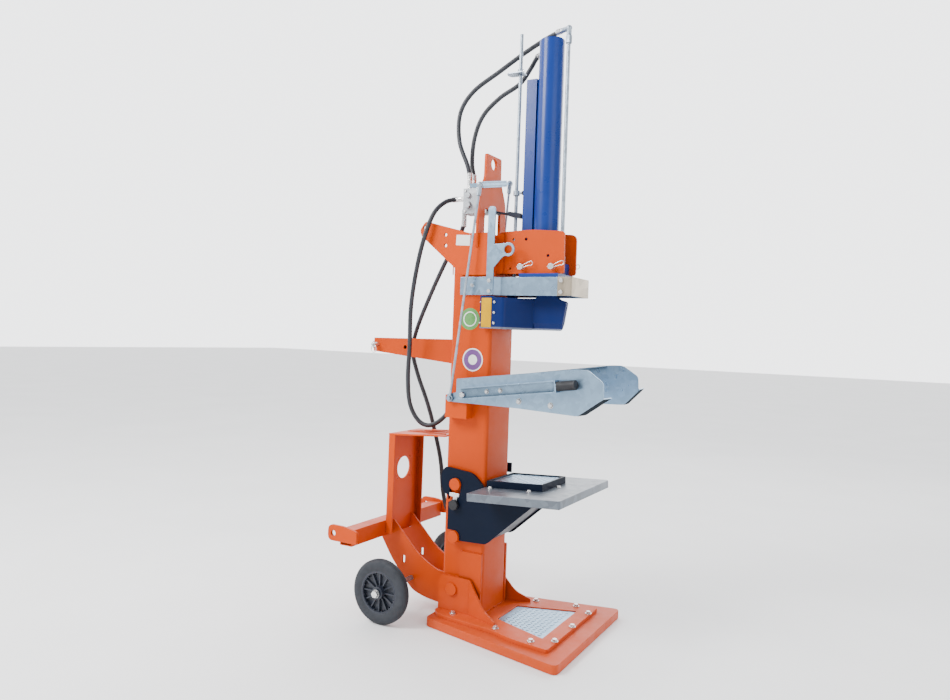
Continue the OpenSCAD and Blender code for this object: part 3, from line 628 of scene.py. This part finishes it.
def tread(node, x_range, half_widths, top, bottom, turn):
    """A plate with a pattern of raised lozenges; its two ends may differ in width."""
    (x_low, x_high), (w_low, w_high) = x_range, half_widths
    corners = [(x_low, -w_low), (x_high, -w_high), (x_high, w_high), (x_low, w_low)]
    bm = bmesh.new()
    skin = top - TREAD_RAISE
    ring_low = [bm.verts.new(turn @ Vector((x, y, bottom))) for x, y in corners]
    ring_high = [bm.verts.new(turn @ Vector((x, y, skin))) for x, y in corners]
    bm.faces.new(ring_low)
    bm.faces.new(ring_high)
    join_rings(bm, ring_low, ring_high)
    flat = turn.to_3x3()
    up = (flat @ Vector((0, 0, 1))).normalized()

    def inside(x, y):
        t = (x - x_low) / (x_high - x_low)
        room = w_low + (w_high - w_low) * t - TREAD_EDGE
        return x_low + TREAD_EDGE < x < x_high - TREAD_EDGE and abs(y) < room

    for i in range(int((x_high - x_low) / TREAD_STEP) + 2):
        for j in range(int(2 * w_high / TREAD_STEP) + 2):
            x = x_low + (i + 0.5) * TREAD_STEP
            y = -w_high + (j + 0.5) * TREAD_STEP
            if not inside(x, y):
                continue
            lean = math.radians(45 if (i + j) % 2 else -45)
            along = (flat @ Vector((math.cos(lean), math.sin(lean), 0))).normalized()
            spot = turn @ Vector((x, y, skin))
            length, width = TREAD_STEP * 0.95, TREAD_STEP * 0.34
            lens(bm, spot, along, up.cross(along), up, length, width, 0.0015)
    plate = from_bmesh(node + "_shell", bm, ZINC_PALE, "frame", 30)
    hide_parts(node)


TABLE_TURN = Matrix.Translation(mm(96, 0, 549)) @ Matrix.Rotation(math.radians(-3.1), 4, "Y")
tread("base_tread", (0.160, 0.383), (0.086, 0.166), 0.045, 0.033, Matrix.Identity(4))
tread("table_tread", (0.018, 0.238), (0.106, 0.106), 0.023, 0.0, TABLE_TURN)

# ---------------------------------------------------------------- small parts


WASHER_HEIGHT = 0.0016


def hex_bolt(bm, foot, out, size, height, washer=0.0):
    """A hexagon head with a chamfered top, on a washer if its radius is given."""
    foot, out = Vector(foot), Vector(out).normalized()
    if washer:
        tube_between(bm, foot, foot + out * WASHER_HEIGHT, washer, 32)
        foot = foot + out * WASHER_HEIGHT
    chamfer = foot + out * height * 0.72
    tube_between(bm, foot, chamfer, size, 6)
    tube_between(bm, chamfer, foot + out * height, size, 6, size * 0.8)


def table_bolts():
    """Dome bolts on the table top."""
    bm = bmesh.new()
    for x, y in ((32, -128), (200, -132), (263, 0), (32, 128), (200, 132)):
        tube_between(bm, TABLE_TURN @ mm(x, y, 0), TABLE_TURN @ mm(x, y, 2), 0.011, 32)
        tube_between(bm, TABLE_TURN @ mm(x, y, 2), TABLE_TURN @ mm(x, y, 8), 0.0085, 32, 0.0065)
    round_edges(from_bmesh("table_bolt_heads", bm, FASTENER, "frame"), 0.0006)


table_bolts()


def latch_knob():
    """Black hand knob on the table's latch pin."""
    bm = bmesh.new()
    profile = [
        (0.01, 122.5), (18.8, 122.5), (20, 126), (20.4, 131), (20.2, 135.5), (18.9, 138.6),
        (0.01, 139.2),
    ]
    ring = [(r * MM, h * MM) for r, h in profile]
    lathe(bm, ring, mm(-31, 0, 466), (0, -1, 0), 48)
    from_bmesh("latch_knob", bm, GRIP, "latch")


latch_knob()

ARM_FLARE = math.radians(4.5)
HANDLE_SLOPE = math.radians(7.6)
FAR_LIFT = math.radians(1.0)
ARM_PIVOT_X, ARM_PIVOT_Z = 10, 905


def arm_place(side):
    """From an arm's own frame to the shared frame; the far arm rests one degree higher."""
    swung = Matrix.Translation(mm(-25, side * 150, 0)) @ Matrix.Rotation(side * ARM_FLARE, 4, "Z")
    if side < 0:
        return swung
    pivot = mm(ARM_PIVOT_X, 0, ARM_PIVOT_Z)
    lift = Matrix.Rotation(-FAR_LIFT, 4, "Y")
    return Matrix.Translation(pivot) @ lift @ Matrix.Translation(-pivot) @ swung


def arm_spot(side, along, z, out):
    """Point on an arm: along from its rear end, height, and distance outwards from its face."""
    return arm_place(side) @ mm(along, side * out, z)


def arm_details(side, body, tag):
    """Bolts, the pivot pin's head and the ribs of the grip."""
    out = Vector((-math.sin(ARM_FLARE), side * math.cos(ARM_FLARE), 0))
    bm = bmesh.new()
    for along, z in ((288, 899), (422, 894)):
        hex_bolt(bm, arm_spot(side, along, z, 4), out, 0.0085, 0.006, 0.0115)
    for along, z in ((147, 926), (208, 934)):
        hex_bolt(bm, arm_spot(side, along, z, 8), out, 0.0072, 0.005, 0.0095)
    round_edges(from_bmesh(f"arm_{tag}_bolts", bm, FASTENER, body), 0.0004)
    bm = bmesh.new()
    hex_bolt(bm, mm(ARM_PIVOT_X, side * 162.8, ARM_PIVOT_Z), (0, side, 0), 0.0125, 0.009)
    round_edges(from_bmesh(f"arm_{tag}_pivot_head", bm, FASTENER, "frame"), 0.0005)
    bm = bmesh.new()
    slope = HANDLE_SLOPE + (FAR_LIFT if side > 0 else 0)
    level = Vector((math.cos(ARM_FLARE), side * math.sin(ARM_FLARE), 0))
    way = level * math.cos(slope) + Vector((0, 0, math.sin(slope)))
    start = arm_spot(side, 27, 909.5, 25)
    for k in range(9):
        torus(bm, start + way * (0.443 + 0.007 * k), way, 0.0174, 0.0012, 36)
    from_bmesh(f"arm_{tag}_grip_ribs", bm, GRIP, body)


def painted_lip_shade(side, body, tag, corner, slope, length, y_range):
    """Thin near-black sheet on the lower face of the bent lip at an arm's front end: painted
    shade.
    """
    lean = Matrix.Rotation(math.radians(-slope), 4, "Y")
    low_y, high_y = sorted(side * y for y in y_range)
    bm = bmesh.new()
    slab(bm, mm(0.5, low_y, -0.3), mm(length - 2, high_y, 0.2))
    where = arm_place(side) @ Matrix.Translation(mm(corner[0], 0, corner[1])) @ lean
    bmesh.ops.transform(bm, matrix=where, verts=bm.verts)
    from_bmesh(f"arm_{tag}_painted_lip_shade", bm, LIP_PAINTED_SHADE, body)


painted_lip_shade(-1, "arm_near", "near", (529, 864), 34.6, 120, (-69.5, -0.5))
painted_lip_shade(1, "arm_far", "far", (571, 875), 45, 92, (4.5, 73.5))
arm_details(-1, "arm_near", "near")
arm_details(1, "arm_far", "far")


def wire(bm, points, radius):
    """Bent wire through the given points, in millimetres."""
    line = dense([mm(*p) for p in points], 5)
    for a, b in zip(line, line[1:]):
        tube_between(bm, a, b, radius, 10)
        bmesh.ops.create_icosphere(
            bm, subdivisions=1, radius=radius, matrix=Matrix.Translation(b)
        )


CYLINDER_PIN_X, CYLINDER_PIN_Z = (202, 332), 1413


def pin_clips():
    """Spring clips on the cylinder's two pins, and the ring on the top-link pin."""
    bm = bmesh.new()
    loop = [(34, 17), (43, 21), (50, 18), (51, 9), (44, 4), (34, 4), (14, -2), (-12, -8)]
    straight = [(34, 17), (18, 9), (6, 2), (-4, -2), (-14, -1)]
    for x in CYLINDER_PIN_X:
        for side in (-1, 1):
            for y, leg in ((82, loop), (86, straight)):
                points = [(x + u, side * y, CYLINDER_PIN_Z + v) for u, v in leg]
                wire(bm, points, 0.0015)
    torus(bm, mm(-500, -67, 1066), (0.25, 1, 0), 0.016, 0.0019, 40)
    tube_between(bm, mm(-500, -67, 1099), mm(-500, -67, 1068), 0.0042, 20)
    from_bmesh("spring_clips", bm, FASTENER, "frame")


pin_clips()


def welds():
    """Weld beads where plates meet the column and the tubes."""
    random.seed(4)
    bm = bmesh.new()

    def bead(a, b, radius):
        a, b = mm(*a), mm(*b)
        steps = max(3, int((b - a).length / 0.006))
        for k in range(steps):
            spot = a.lerp(b, (k + 0.5) / steps)
            size = radius * MM * random.uniform(0.86, 1.08)
            made = bmesh.ops.create_icosphere(bm, subdivisions=1, radius=size)["verts"]
            stretch = (b - a).normalized()
            for v in made:
                v.co += stretch * v.co.dot(stretch) * 0.6
                v.co += spot

    for side in (-1, 1):
        bead((-91, side * 99.5, 1382), (-91, side * 99.5, 1538), 3.2)
        bead((-46, side * 100, 1380), (90, side * 100, 1380), 3.0)
        bead((92, side * 66, 1390), (92, side * 66, 1545), 3.0)
        bead((-4, side * 100, 285), (86, side * 100, 285), 3.2)
        bead((-80, side * 112, 184), (-6, side * 112, 184), 2.8)
        bead((-92, side * 74, 60), (-92, side * 74, 176), 3.0)
        bead((-76, side * 100, 900), (18, side * 100, 900), 2.8)
        bead((-76, side * 100, 810), (18, side * 100, 810), 2.8)
        bead((-364, side * 106, 304), (-364, side * 106, 700), 1.6)
        bead((-92, side * 38, 1022), (-92, side * 38, 1116), 3.2)
        bead((-428, side * 332, 292), (-372, side * 332, 292), 2.4)
        bead((-428, side * 332, 350), (-372, side * 332, 350), 2.4)
        bead((91, side * 92, 49), (91, side * 10, 49), 4.0)
    bead((-88, -99, 49), (88, -99, 49), 3.6)
    bead((-88, 99, 49), (88, 99, 49), 3.6)
    bead((-92, -104, 729), (-92, 104, 729), 2.6)
    from_bmesh("weld_beads", bm, ORANGE, "frame", 60)


welds()


COLUMN_FACE = -98.8


def disc_mark(name, x, z, rings):
    """A plain round sticker on the column's near face, made of coloured rings."""
    for k, (radius, material) in enumerate(rings):
        bm = bmesh.new()
        front = COLUMN_FACE - 0.45 - 0.08 * k
        tube_between(bm, mm(x, COLUMN_FACE, z), mm(x, front, z), radius * MM, 64)
        from_bmesh(f"{name}_{k}", bm, material, "frame")


disc_mark("sticker_upper", -5, 1204, [(44, GREEN), (30, WHITE), (26, GREEN)])
disc_mark("sticker_lower", 14, 1042, [(46, WHITE), (41, PURPLE), (20, WHITE)])


def blank_label():
    """Plain white label on the near ear plate, without any print."""
    bm = bmesh.new()
    slab(bm, mm(-76, -109.5, 1499), mm(-12, -108.9, 1541))
    middle = mm(-44, 0, 1520)
    lean = Matrix.Translation(middle) @ Matrix.Rotation(math.radians(3), 4, "Y")
    bmesh.ops.transform(bm, matrix=lean @ Matrix.Translation(-middle), verts=bm.verts)
    round_edges(from_bmesh("ear_label", bm, WHITE, "frame"), 0.0002)


blank_label()


def guide_and_stops():
    """Knob and set screw of the stroke rod's stops."""
    bm = bmesh.new()
    tube_between(bm, mm(160, 0, 1718), mm(174, 0, 1718), 0.009, 32, 0.0075)
    round_edges(from_bmesh("stop_knob", bm, GRIP, "blade"), 0.0015)
    bm = bmesh.new()
    hex_bolt(bm, mm(146, 0, 2214), (1, 0, 0), 0.005, 0.004)
    from_bmesh("stop_screw", bm, FASTENER, "blade")


guide_and_stops()


def valve_details():
    """Screws on the valve block's near face."""
    bm = bmesh.new()
    for x, z in ((-84, 1650), (-26, 1650), (-84, 1735), (-26, 1735), (6, 1692)):
        hex_bolt(bm, mm(x, -34, z), (0, -1, 0), 0.0052, 0.005)
    round_edges(from_bmesh("valve_screws", bm, FASTENER, "frame"), 0.0004)


valve_details()


STUD_CIRCLE = 71
STUD_TURN = 0.26


def wheel_details(side, body, tag):
    """Twelve studs and the raised lip of a rim."""
    bm = bmesh.new()
    for k in range(12):
        a = 2 * math.pi * k / 12 + STUD_TURN
        x, z = STUD_CIRCLE * math.cos(a), STUD_CIRCLE * math.sin(a)
        foot = mm(WHEEL_X + x, side * (WHEEL_Y + 18.5), WHEEL_Z + z)
        tube_between(bm, foot, foot + mm(0, -side * 12, 0), 0.002, 12)
    lip = mm(WHEEL_X, side * (WHEEL_Y + 17.5), WHEEL_Z)
    torus(bm, lip, (0, 1, 0), 0.0775, 0.0016, 96)
    from_bmesh(f"wheel_{tag}_rim_lip", bm, RIM, body)


wheel_details(-1, "wheel_near", "near")
wheel_details(1, "wheel_far", "far")

# ---------------------------------------------------------------- studio


FLOOR_HALF = 30
LIGHT_AIM = Vector((0, 0, 1.1))
LIGHTS = (
    ("key", (-2.6, -3.6, 4.2), 2.2, 420),
    ("fill", (4.2, -2.2, 2.4), 3.0, 60),
    ("rim", (0.5, 4.2, 3.6), 3.0, 60),
)
BACKDROP_WAY = (-0.49, 0.87, 0.0)
GLOW_BEHIND_CAMERA, GLOW_BEHIND_PART = 0.9, 3.6


def make_floor():
    bm = bmesh.new()
    slab(bm, (-FLOOR_HALF, -FLOOR_HALF, -0.02), (FLOOR_HALF, FLOOR_HALF, -0.0005))
    mesh = bpy.data.meshes.new("floor")
    bm.to_mesh(mesh)
    bm.free()
    floor = bpy.data.objects.new("floor", mesh)
    mat, tree, bsdf = shader("floor_pale")
    tone = ramp(tree, noise(tree, 1.5), [(0.3, grey(0.86)), (0.7, grey(0.90))])
    tree.links.new(tone, bsdf.inputs["Base Color"])
    bsdf.inputs["Roughness"].default_value = 0.7
    mesh.materials.append(mat)
    bpy.context.scene.collection.objects.link(floor)


def make_world():
    """A white surround, brighter behind the part than behind the camera."""
    world = bpy.data.worlds.new("studio")
    bpy.context.scene.world = world
    world.use_nodes = True
    tree = world.node_tree
    background = tree.nodes["Background"]
    background.inputs["Color"].default_value = (0.97, 0.98, 1.0, 1)
    facing = add(tree, "ShaderNodeVectorMath", operation="DOT_PRODUCT")
    tree.links.new(add(tree, "ShaderNodeTexCoord").outputs["Generated"], facing.inputs[0])
    facing.inputs[1].default_value = BACKDROP_WAY
    levels = (GLOW_BEHIND_CAMERA, GLOW_BEHIND_PART)
    glow = map_range(tree, facing.outputs["Value"], -0.3, 0.8, *levels)
    glow.interpolation_type = "SMOOTHSTEP"
    tree.links.new(glow.outputs["Result"], background.inputs["Strength"])


def make_lights():
    for name, spot, size, power in LIGHTS:
        data = bpy.data.lights.new(name, "AREA")
        data.size = size
        data.energy = power
        lamp = bpy.data.objects.new(name, data)
        lamp.location = spot
        lamp.rotation_mode = "QUATERNION"
        lamp.rotation_quaternion = (LIGHT_AIM - Vector(spot)).to_track_quat("-Z", "Y")
        bpy.context.scene.collection.objects.link(lamp)


make_floor()
make_world()
make_lights()
